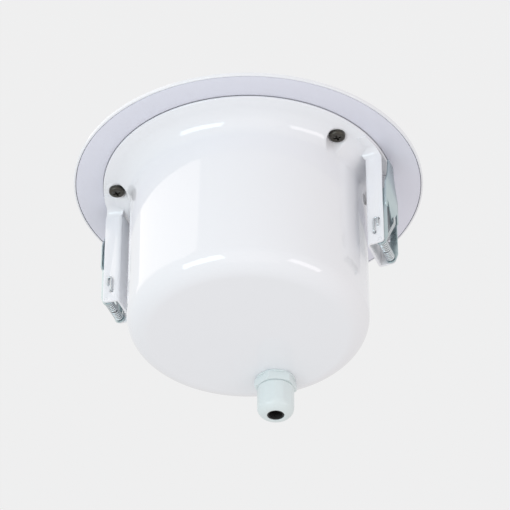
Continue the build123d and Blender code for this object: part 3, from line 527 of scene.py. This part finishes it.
@dataclass
class BackCan:
    """Deep spun can with a flange, pressed screw pads and the screws on them."""

    wall_radius: float = 66.8 * MM
    sheet: float = 1.2 * MM
    foot_round: float = 12.0 * MM
    skirt_deg: float = 13.0
    end_round: float = 13.2 * MM
    edge_round: float = 0.45 * MM
    screw_off_right: float = 5.0 * MM
    screw_off_left: float = 7.6 * MM
    screw_pair_deg: float = 24.55
    screw_turn_deg: float = 2.05
    pad_radius: float = 5.4 * MM
    pad_rise: float = 1.4 * MM
    pad_edge: float = 2.4 * MM
    head_soft: float = 0.15 * MM
    rings: int = 300
    pad_rings: int = 50
    pad_ring_deg: float = 0.12
    least_ring_deg: float = 0.02

    def screw_places(self) -> list[Vector]:
        """Centres of the four screws, as (x, y)."""
        places = []
        for side_deg, off_wall in ((0.0, self.screw_off_right), (180.0, self.screw_off_left)):
            radius = self.wall_radius + off_wall
            for hand in (1, -1):
                angle = math.radians(side_deg + self.screw_turn_deg + hand * self.screw_pair_deg)
                places.append(Vector((radius * math.cos(angle), radius * math.sin(angle))))
        return places

    def profile(self, flange: float, bottom: float, top: float) -> list[Point2]:
        """Outline of the can's sheet.

        Args:
            flange: Radius of the flange.
            bottom: Level of the flange's underside.
            top: Level of the closed end's outside.

        Returns:
            The outline, from the axis down the outside and back up the inside.
        """
        wall, sheet, end = self.wall_radius, self.sheet, self.end_round
        seat = bottom + sheet
        edge = self.edge_round
        outside = [(0.0, top)]
        outside += arc((wall - end, top - end), end, 90, 0, 24)
        low, high = self.round_level(seat, flange), top - end
        outside += [(wall, high - (high - low) * step / 6) for step in range(1, 6)]
        foot = self.foot_arc(low, 0.0, 36)
        outside += foot
        start, finish = Vector(foot[-1]), Vector((flange - edge, seat))
        outside += [tuple(start.lerp(finish, step / 20)) for step in range(1, 20)]
        outside += arc((flange - edge, seat - edge), edge, 90, 0, 5)
        inside = [(flange, bottom)]
        inside += reversed(self.foot_arc(low, sheet, 24))
        inside += arc((wall - end, top - end), end - sheet, 0, 90, 12)
        inside.append((0.0, top - sheet))
        return outside + inside

    def round_level(self, seat: float, flange: float) -> float:
        """Level at which the foot's round leaves the wall.

        Args:
            seat: Level of the flange's edge.
            flange: Radius of the flange.

        Returns:
            The level.
        """
        slope = math.radians(self.skirt_deg)
        run = flange - self.edge_round - self.wall_radius - self.foot_round * (1 - math.sin(slope))
        return seat + run * math.tan(slope) + self.foot_round * math.cos(slope)

    def foot_arc(self, level: float, inset: float, steps: int) -> list[Point2]:
        """Points down the foot's round, from the wall to the sloping skirt.

        Args:
            level: Level at which the round leaves the wall.
            inset: How far under the outside the points are.
            steps: Number of chords.

        Returns:
            The points, both ends among them.
        """
        middle = (self.wall_radius + self.foot_round, level)
        return arc(middle, self.foot_round + inset, 180, 270 - self.skirt_deg, steps)

    def press_pads(self, work: bmesh.types.BMesh, seat: float, flange: float) -> None:
        """Press the screws' round pads into the skirt of the can.

        Args:
            work: The can's bmesh.
            seat: Level of the flange's edge.
            flange: Radius of the flange.
        """
        limit = self.round_level(seat, flange)
        for vert in work.verts:
            if vert.co.z > limit:
                continue
            flat = Vector((vert.co.x, vert.co.y))
            inner = vert.co.z < self.skirt_level(flat.length, seat, flange) - self.sheet / 2
            level = seat + self.pad_rise - (self.sheet if inner else 0.0)
            away = min((flat - centre).length for centre in self.screw_places())
            press = 1 - min(max((away - self.pad_radius) / self.pad_edge + 0.5, 0.0), 1.0)
            press = press * press * (3 - 2 * press)
            vert.co.z += (level - vert.co.z) * press

    def skirt_level(self, radius: float, seat: float, flange: float) -> float:
        """Level of the can's outside at a radius in the foot.

        Args:
            radius: The radius.
            seat: Level of the flange's edge.
            flange: Radius of the flange.

        Returns:
            The level.
        """
        slope = math.radians(self.skirt_deg)
        cone = seat + (flange - self.edge_round - radius) * math.tan(slope)
        away = self.wall_radius + self.foot_round - radius
        if away < self.foot_round * math.sin(slope):
            return cone
        depth = math.sqrt(max(self.foot_round**2 - away**2, 0.0))
        return self.round_level(seat, flange) - depth

    def ring_angles(self) -> list[float]:
        """Angles of the can's rings, closer together at the pads."""
        angles = set(even_angles(self.rings))
        for centre in self.screw_places():
            middle = math.atan2(centre.y, centre.x)
            for step in range(-self.pad_rings, self.pad_rings + 1):
                angles.add((middle + math.radians(self.pad_ring_deg) * step) % (2 * math.pi))
        ordered = sorted(angles)
        gap = math.radians(self.least_ring_deg)
        return [a for a, b in zip(ordered, ordered[1:] + [ordered[0] + 2 * math.pi]) if b - a > gap]

    def build(self, nodes: dict[str, bpy.types.Object]) -> None:
        """Make the can and its screws."""
        low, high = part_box("back_can")
        outline = self.profile(high.x, low.z, high.z)
        work = turned_bmesh(outline, self.ring_angles())
        self.press_pads(work, low.z + self.sheet, high.x)
        place("can_shell", smooth_mesh("can_shell", work), WHITE_ENAMEL, BODY, "back_can")
        screws = softened_copy(nodes["can_screws"], "can_screw_heads", self.head_soft)
        place("can_screw_heads", screws, DARK_SCREW, BODY, "can_screws")


@dataclass
class Front:
    """Mounting ring and the perforated grille pan that wraps it."""

    rim_wall: float = 1.0 * MM
    lip_height: float = 1.8 * MM
    bevel_width: float = 13.0 * MM
    border_width: float = 4.0 * MM
    recess: float = 0.6 * MM
    sheet: float = 0.8 * MM
    edge_round: float = 0.5 * MM
    hole_radius: float = 1.25 * MM
    hole_pitch: float = 4.2 * MM
    hole_sides: int = 12
    ring_sheet: float = 1.2 * MM
    seat_radius: float = 82.22 * MM
    seat_depth: float = 0.6 * MM
    seat_round: float = 0.25 * MM
    opening_radius: float = 53.5 * MM
    rings: int = 256

    def build_ring(self) -> None:
        """Make the mounting ring."""
        _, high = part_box("mounting_ring")
        outer, seat, depth, sheet = high.x, self.seat_radius, self.seat_depth, self.ring_sheet
        soft = self.seat_round
        outline = [(self.opening_radius, -depth), (seat - soft, -depth)]
        outline += arc((seat + soft, -soft), soft, 180, 90, 4)
        outline += arc((outer - soft, -soft), soft, 90, 0, 4)
        outline += [(outer, -sheet), (seat + sheet, -sheet)]
        outline += [(seat + sheet, -sheet - depth), (self.opening_radius, -sheet - depth)]
        work = turned_bmesh(outline, even_angles(self.rings))
        place("ring_plate", smooth_mesh("ring_plate", work), RING_ENAMEL, BODY, "mounting_ring")

    def build_pan(self) -> None:
        """Make the grille: turned rim and bevel round a plate with fine holes."""
        low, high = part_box("grille")
        rim, front = high.x, low.z
        bevel = rim - self.bevel_width
        field = bevel - self.border_width
        slope = (-front - self.lip_height) / self.bevel_width
        skin = self.sheet * math.hypot(1, slope)
        wall = rim - self.rim_wall
        edge = self.edge_round
        back = front + self.recess + self.sheet
        outline = [(field, front + self.recess), (field + self.recess / 2, front)]
        outline += [(bevel, front), (rim, -self.lip_height)]
        outline += arc((rim - edge, -edge), edge, 0, 90, 5)
        outline += [(wall, 0.0), (wall, -self.lip_height - self.rim_wall * slope + skin)]
        outline.append((bevel - (self.sheet - skin) / slope, front + self.sheet))
        outline += [(field + self.recess, front + self.sheet), (field, back)]
        work = turned_bmesh(outline, even_angles(self.rings))
        self.add_field(work, field, front + self.recess, back)
        bmesh.ops.remove_doubles(work, verts=work.verts, dist=MERGE)
        place("grille_pan", smooth_mesh("grille_pan", work), WHITE_ENAMEL, BODY, "grille")

    def add_field(self, work: bmesh.types.BMesh, radius: float, front: float, back: float) -> None:
        """Add the perforated plate inside the border.

        Args:
            work: The pan's bmesh.
            radius: Radius of the plate.
            front: Level of its front face.
            back: Level of its back face.
        """
        loops = [circle((0.0, 0.0), radius, self.rings)]
        reach = radius - self.hole_pitch
        rise = self.hole_pitch * math.sqrt(3) / 2
        rows = int(reach / rise)
        columns = int(reach / self.hole_pitch) + 1
        for row in range(-rows, rows + 1):
            for column in range(-columns, columns + 1):
                x = (column + 0.5 * (row % 2)) * self.hole_pitch
                y = row * rise
                if math.hypot(x, y) < reach:
                    loops.append(circle((x, y), self.hole_radius, self.hole_sides))
        points = [Vector(point) for loop in loops for point in loop]
        owner = [number for number, loop in enumerate(loops) for _ in loop]
        edges, start = [], 0
        for loop in loops:
            count = len(loop)
            edges += [(start + step, start + (step + 1) % count) for step in range(count)]
            start += count
        flat, _, triangles, *_ = geometry.delaunay_2d_cdt(points, edges, [], 0, MERGE / 10)
        lower = [work.verts.new((p.x, p.y, front)) for p in flat]
        upper = [work.verts.new((p.x, p.y, back)) for p in flat]
        for triangle in triangles:
            holes = {owner[i] for i in triangle}
            if len(holes) == 1 and 0 not in holes:
                continue
            work.faces.new([lower[i] for i in reversed(triangle)])
            work.faces.new([upper[i] for i in triangle])
        for a, b in edges[self.rings :]:
            work.faces.new((upper[a], upper[b], lower[b], lower[a]))


@dataclass
class Suspension:
    """The driver's spider: cloth, opened at its middle so that the cone's neck passes."""

    joint: str = "diaphragm_slide"
    neck_clearance: float = 13.9 * MM
    flattened: float = 0.15

    def build(self, nodes: dict[str, bpy.types.Object]) -> None:
        """Make the spider, open enough for the cone's neck to pass."""
        work = bmesh.new()
        work.from_mesh(nodes["spider"].data)
        for vert in work.verts:
            reach = math.hypot(vert.co.x, vert.co.y)
            if reach < self.neck_clearance:
                vert.co.x *= self.neck_clearance / reach
                vert.co.y *= self.neck_clearance / reach
        bmesh.ops.remove_doubles(work, verts=work.verts, dist=MERGE)
        cloth = place("spider_cloth", smooth_mesh("spider_cloth", work), SPIDER_CLOTH, BODY, "spider")
        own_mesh(cloth)


@dataclass
class Clamp:
    """One clamp: channel bracket, wing, hinge pin and double torsion spring.

    The wing's outlines are in millimetres: half of the leaf as (y, z), and the ear's edge below the pin
    as (x, z).
    """

    side: Side
    pin: Point2 = (80.5 * MM, 64.327 * MM)
    half_width: float = 11.0 * MM
    sheet: float = 1.2 * MM
    wire: float = 0.55 * MM
    coil_radius: float = 2.0 * MM
    coil_end: float = 7.5 * MM
    coil_start: float = 0.05 * MM
    loop_half: float = 0.65 * MM
    coil_turns: float = 5.0
    turn_steps: int = 28
    cross_drop: float = 4.8 * MM
    outside_length: float = 8.9 * MM
    hook_width: float = 1.1 * MM
    hook_return: float = 4.6 * MM
    wall_gap: float = 0.5 * MM
    loop_gap: float = 0.2 * MM
    leg_bend: float = 1.3 * MM
    loop_bend: float = 1.2 * MM
    loop_length: float = 20.5 * MM
    loop_lift: float = 16.5 * MM
    wing_face: float = 84.8 * MM
    wing_sheet: float = 0.9 * MM
    ear_half: float = 9.4 * MM
    ear_round: float = 2.9 * MM
    leaf: tuple[Point2, ...] = (
        (4.2, 5.0),
        (5.4, 13.0),
        (7.2, 18.6),
        (9.4, 22.6),
        (10.9, 26.5),
        (10.9, 40.5),
        (9.4, 42.0),
        (8.5, 42.0),
        (8.4, 35.0),
        (5.0, 39.6),
        (1.6, 45.4),
    )
    ear: tuple[Point2, ...] = (
        (79.2, 60.6),
        (80.4, 50.0),
        (80.6, 34.0),
        (82.6, 29.0),
        (84.4, 28.0),
        (84.4, 62.0),
    )
    wing_soft: float = 0.15 * MM
    bracket_soft: float = 0.25 * MM
    pin_soft: float = 0.2 * MM

    def wing_body(self) -> str:
        """Body that the wing turns with."""
        return f"wing_{self.side.label}"

    def coil_path(self, hand: int) -> list[Vector]:
        """Middle line of one leg and its coil.

        Args:
            hand: 1 for the coil at positive y, -1 for the other.

        Returns:
            Points from the hooked end of the leg to the inner end of the coil.
        """
        pin_x, pin_z = self.pin
        leg_x = pin_x - self.coil_radius
        cross = pin_z - self.cross_drop
        end = cross - self.outside_length
        out = self.half_width + self.wall_gap + self.wire
        hook = self.hook_width
        corners = [
            Vector((leg_x + hook, self.half_width - self.sheet, end + self.hook_return)),
            Vector((leg_x + hook, out, end + self.hook_return)),
            Vector((leg_x + hook, out, end)),
            Vector((leg_x - hook, out, end)),
            Vector((leg_x - hook, out, cross)),
            Vector((leg_x - hook, self.coil_end, cross)),
            Vector((leg_x, self.coil_end, pin_z)),
        ]
        path = rounded_path(corners, self.leg_bend)
        steps = int(self.coil_turns * self.turn_steps)
        for step in range(1, steps + 1):
            part = step / steps
            angle = math.pi - 2 * math.pi * self.coil_turns * part
            y = self.coil_end + (self.coil_start - self.coil_end) * part
            path.append(
                Vector(
                    (
                        pin_x + self.coil_radius * math.cos(angle),
                        y,
                        pin_z + self.coil_radius * math.sin(angle),
                    )
                )
            )
        return [Vector((p.x, hand * p.y, p.z)) for p in path]

    def loop_path(self) -> list[Vector]:
        """Middle line of the loop that presses on the wing's tongue."""
        pin_x, pin_z = self.pin
        face = self.wing_face + self.wire + self.loop_gap
        half = [
            Vector((pin_x - self.coil_radius, self.loop_half, pin_z)),
            Vector((pin_x - self.coil_radius, self.loop_half, pin_z - 2 * self.coil_radius)),
            Vector((face, self.loop_half, pin_z - self.loop_lift)),
            Vector((face, self.loop_half, pin_z - self.loop_length)),
        ]
        other = [Vector((p.x, -p.y, p.z)) for p in reversed(half)]
        return rounded_path(half + other, self.loop_bend)

    def wing_mesh(self, name: str) -> bpy.types.Mesh:
        """Folded wing: a leaf with a narrow tip and a pointed tongue, and an ear on each side.

        Args:
            name: Name of the mesh.

        Returns:
            The wing's mesh, on this clamp's side.
        """
        work = bmesh.new()
        half = [Vector((self.wing_face, y * MM, z * MM)) for y, z in self.leaf]
        outline = half + [Vector((p.x, -p.y, p.z)) for p in reversed(half)]
        add_plate(work, outline, Vector((-self.wing_sheet, 0.0, 0.0)))
        side = [(x * MM, z * MM) for x, z in self.ear] + arc(self.pin, self.ear_round, 20, 230, 14)
        for hand in (1, -1):
            corners = [Vector((x, hand * self.ear_half, z)) for x, z in side]
            add_plate(work, corners, Vector((0.0, -hand * self.wing_sheet, 0.0)))
        bmesh.ops.recalc_face_normals(work, faces=work.faces)
        soften(work, self.wing_soft)
        work.transform(self.side.turn)
        return smooth_mesh(name, work)

    def build(self, nodes: dict[str, bpy.types.Object]) -> None:
        """Make the clamp's pieces."""
        label = self.side.label
        bracket_node = nodes[f"clamp_bracket_{label}"]
        bracket = softened_copy(bracket_node, f"bracket_{label}", self.bracket_soft)
        place(f"bracket_{label}", bracket, WHITE_ENAMEL, BODY, f"clamp_bracket_{label}")
        wing = self.wing_mesh(f"wing_{label}")
        place(f"wing_plate_{label}", wing, ZINC, self.wing_body(), f"clamp_wing_{label}")
        pin = softened_copy(nodes[f"pivot_pin_{label}"], f"pin_{label}", self.pin_soft)
        place(f"pin_{label}", pin, WHITE_ENAMEL, BODY, f"pivot_pin_{label}")
        spring_node = f"torsion_spring_{label}"
        for hand, end in ((1, "a"), (-1, "b")):
            name = f"coil_{label}_{end}"
            work = wire_bmesh(self.coil_path(hand), self.wire)
            work.transform(self.side.turn)
            place(name, smooth_mesh(name, work), SPRING_WIRE, BODY, spring_node)
        name = f"spring_loop_{label}"
        work = wire_bmesh(self.loop_path(), self.wire)
        work.transform(self.side.turn)
        place(name, smooth_mesh(name, work), SPRING_WIRE, self.wing_body(), spring_node)


@dataclass
class CableGland:
    """Nylon gland: washer, hexagon body, rubber seal and domed nut."""

    nut_round: float = 5.2 * MM
    nut_flat: float = 0.35 * MM
    bore_radius: float = 4.75 * MM
    bore_round: float = 0.5 * MM
    inner_radius: float = 8.4 * MM
    foot_round: float = 0.5 * MM
    crown_wall: float = 1.6 * MM
    body_soft: float = 0.35 * MM
    body_soft_steps: int = 3
    flats: int = 6
    rings: int = 144

    def build(self, nodes: dict[str, bpy.types.Object]) -> None:
        """Make the gland's visible pieces."""
        low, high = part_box("gland_dome_nut")
        centre = ((low.x + high.x) / 2, (low.y + high.y) / 2)
        radius = (high.x - low.x) / 2
        corner, bore, soft = self.nut_round, self.bore_radius, self.bore_round
        outline = [(self.inner_radius, low.z)]
        foot = self.foot_round
        outline += arc((radius - foot, low.z + foot), foot, 270, 360, 4)
        height = high.z - corner - low.z
        outline += [(radius, low.z + height * step / 8) for step in range(1, 8)]
        outline += arc((radius - corner, high.z - corner), corner, 0, 90, 14)
        outline += arc((bore + soft, high.z - soft), soft, 90, 180, 5)
        ceiling = high.z - self.crown_wall
        outline += [(bore, ceiling), (self.inner_radius, ceiling - corner)]
        work = turned_bmesh(outline, even_angles(self.rings), centre)
        self.cut_flats(work, Vector(centre), radius)
        place("gland_dome", smooth_mesh("gland_dome", work), WHITE_NYLON, BODY, "gland_dome_nut")
        for node in ("gland_body", "gland_washer"):
            mesh = softened_copy(nodes[node], f"{node}_soft", self.body_soft, self.body_soft_steps)
            place(f"{node}_soft", mesh, WHITE_NYLON, BODY, node)

    def cut_flats(self, work: bmesh.types.BMesh, centre: Vector, radius: float) -> None:
        """Flatten the nut a little on six sides.

        Args:
            work: The nut's bmesh.
            centre: Its axis.
            radius: Its outer radius.
        """
        flat = radius - self.nut_flat
        sector = 2 * math.pi / self.flats
        for vert in work.verts:
            away = Vector((vert.co.x, vert.co.y)) - centre
            angle = math.atan2(away.y, away.x) + sector / 2
            turn = (angle + sector / 2) % sector - sector / 2
            reach = flat / math.cos(turn)
            if away.length > reach:
                near = centre + away.normalized() * reach
                vert.co.x, vert.co.y = near.x, near.y


@dataclass(frozen=True)
class Softbox:
    """A soft lamp, placed by its direction from the speaker: turned to the picture's right, and up."""

    name: str
    turn_deg: float
    rise_deg: float
    away: float
    width: float
    height: float
    watts: float
    colour: Colour = (1.0, 1.0, 1.0)


SOFTBOXES = (
    Softbox("key_panel", -86.0, -37.0, 1.5, 1.8, 1.0, 3.9, (1.0, 0.89, 0.82)),
    Softbox("left_box", -41.0, 24.0, 1.6, 1.0, 0.55, 5.6, (0.72, 0.92, 1.0)),
    Softbox("right_box", 52.0, 24.0, 1.6, 0.8, 0.4, 1.9, (1.0, 0.93, 0.95)),
    Softbox("front_box", 0.0, 30.0, 1.8, 1.6, 1.6, 1.7, (1.0, 0.80, 0.74)),
)


@dataclass
class Stage:
    """Pale floor, soft studio light and the camera of the photograph; the speaker hangs above the floor."""

    elevation_deg: float = 37.227
    heading_deg: float = 69.8
    distance: float = 1671.33 * MM
    lens: float = 208.0
    offset_right: float = 3.7465 * MM
    offset_up: float = -37.374 * MM
    backdrop: Colour = (0.878, 0.879, 0.881)
    hang: float = 1.6
    world_strength: float = 0.785
    world_colour: Colour = (1.0, 0.985, 0.98)
    floor_colour: Colour = (0.85, 0.85, 0.86)
    floor_half: float = 3.0
    glow_share: float = 0.92
    clip: Point2 = (0.05, 50.0)
    sensor: float = 36.0

    def axes(self) -> tuple[Vector, Vector, Vector]:
        """Camera axes: right, up and towards the camera; the picture is upside down."""
        heading, tilt = math.radians(self.heading_deg), math.radians(self.elevation_deg)
        flat = Vector((math.cos(heading), math.sin(heading), 0.0))
        back = flat * math.cos(tilt) + Vector((0, 0, math.sin(tilt)))
        up = flat * math.sin(tilt) - Vector((0, 0, math.cos(tilt)))
        return up.cross(back), up, back

    def build_camera(self) -> None:
        """Make the camera and set it as the scene's."""
        right, up, back = self.axes()
        data = bpy.data.cameras.new("photo_camera")
        data.lens = self.lens
        data.sensor_width = self.sensor
        data.clip_start, data.clip_end = self.clip
        camera = bpy.data.objects.new("photo_camera", data)
        bpy.context.scene.collection.objects.link(camera)
        turn = Matrix((right, up, back)).transposed().to_4x4()
        place_at = back * self.distance + right * self.offset_right + up * self.offset_up
        camera.matrix_world = Matrix.Translation(place_at) @ turn
        bpy.context.scene.camera = camera

    def floor_material(self) -> bpy.types.Material:
        """Pale floor: its own colour for the camera, plain diffuse white for the light."""
        material = bpy.data.materials.new("pale_floor")
        material.use_nodes = True
        nodes, links = material.node_tree.nodes, material.node_tree.links
        nodes.clear()
        output = nodes.new("ShaderNodeOutputMaterial")
        diffuse = nodes.new("ShaderNodeBsdfDiffuse")
        diffuse.inputs["Color"].default_value = (*self.floor_colour, 1.0)
        glow = nodes.new("ShaderNodeEmission")
        glow.inputs["Color"].default_value = (*self.backdrop, 1.0)
        rays = nodes.new("ShaderNodeLightPath")
        seen = nodes.new("ShaderNodeMath")
        seen.operation = "MAXIMUM"
        seen_through = nodes.new("ShaderNodeMath")
        seen_through.operation = "MAXIMUM"
        share = nodes.new("ShaderNodeMath")
        share.operation = "MULTIPLY"
        share.inputs[1].default_value = self.glow_share
        mix = nodes.new("ShaderNodeMixShader")
        links.new(rays.outputs["Is Camera Ray"], seen.inputs[0])
        links.new(rays.outputs["Is Glossy Ray"], seen.inputs[1])
        links.new(seen.outputs[0], seen_through.inputs[0])
        links.new(rays.outputs["Is Transmission Ray"], seen_through.inputs[1])
        links.new(seen_through.outputs[0], share.inputs[0])
        links.new(share.outputs[0], mix.inputs["Fac"])
        links.new(diffuse.outputs[0], mix.inputs[1])
        links.new(glow.outputs[0], mix.inputs[2])
        links.new(mix.outputs[0], output.inputs["Surface"])
        return material

    def build_floor(self, level: float) -> None:
        """Make the floor under the hanging speaker.

        Args:
            level: Height of the floor.
        """
        work = bmesh.new()
        bmesh.ops.create_grid(work, x_segments=1, y_segments=1, size=self.floor_half)
        mesh = bpy.data.meshes.new("floor")
        work.to_mesh(mesh)
        work.free()
        floor = bpy.data.objects.new("floor", mesh)
        floor.location.z = level
        mesh.materials.append(self.floor_material())
        bpy.context.scene.collection.objects.link(floor)
        floor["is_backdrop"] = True

    def build_world(self) -> None:
        """Set the even light all round."""
        world = bpy.data.worlds.new("studio")
        world.use_nodes = True
        background = world.node_tree.nodes["Background"]
        background.inputs["Color"].default_value = (*self.world_colour, 1.0)
        background.inputs["Strength"].default_value = self.world_strength
        bpy.context.scene.world = world

    def add_softbox(self, box: Softbox) -> None:
        """Add a soft lamp that faces the speaker.

        Args:
            box: The lamp's place, size and light.
        """
        right, _, back = self.axes()
        ahead = Vector((back.x, back.y, 0.0)).normalized()
        turn, rise = math.radians(box.turn_deg), math.radians(box.rise_deg)
        toward = (ahead * math.cos(turn) + right * math.sin(turn)) * math.cos(rise)
        toward.z = math.sin(rise)
        data = bpy.data.lights.new(box.name, "AREA")
        data.shape = "RECTANGLE"
        data.size, data.size_y = box.width, box.height
        data.energy = box.watts
        data.color = box.colour
        lamp = bpy.data.objects.new(box.name, data)
        bpy.context.scene.collection.objects.link(lamp)
        lamp.location = toward * box.away
        lamp.rotation_mode = "QUATERNION"
        lamp.rotation_quaternion = toward.to_track_quat("Z", "Y")

    def build_light(self) -> None:
        """Make the even light and the lamps."""
        self.build_world()
        for box in SOFTBOXES:
            self.add_softbox(box)


def dress_nodes(nodes: dict[str, bpy.types.Object], record: dict) -> None:
    """Give every node of the part the finish of its slot.

    Args:
        nodes: The part's objects by node name.
        record: The part's record.
    """
    finishes = {finish.slot: finish for finish in FINISHES}
    for entry in record["subparts"]:
        mesh = nodes[entry["node"]].data
        mesh.materials.clear()
        mesh.materials.append(finishes[entry["material_slot"]].material())


def main() -> None:
    """Build the speaker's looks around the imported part."""
    logging.basicConfig(level=logging.INFO, format="%(message)s")
    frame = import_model()
    cad_box = [list(corner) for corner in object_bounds()]
    nodes = frame["nodes"]
    dress_nodes(nodes, frame["record"])
    front = Front()
    front.build_ring()
    front.build_pan()
    BackCan().build(nodes)
    Suspension().build(nodes)
    for side in Side:
        Clamp(side).build(nodes)
    CableGland().build(nodes)
    stage = Stage()
    stage.build_floor(cad_box[0][2] - stage.hang)
    stage.build_light()
    stage.build_camera()
    bpy.context.scene.view_settings.view_transform = "Standard"


if __name__ == "__main__":
    main()
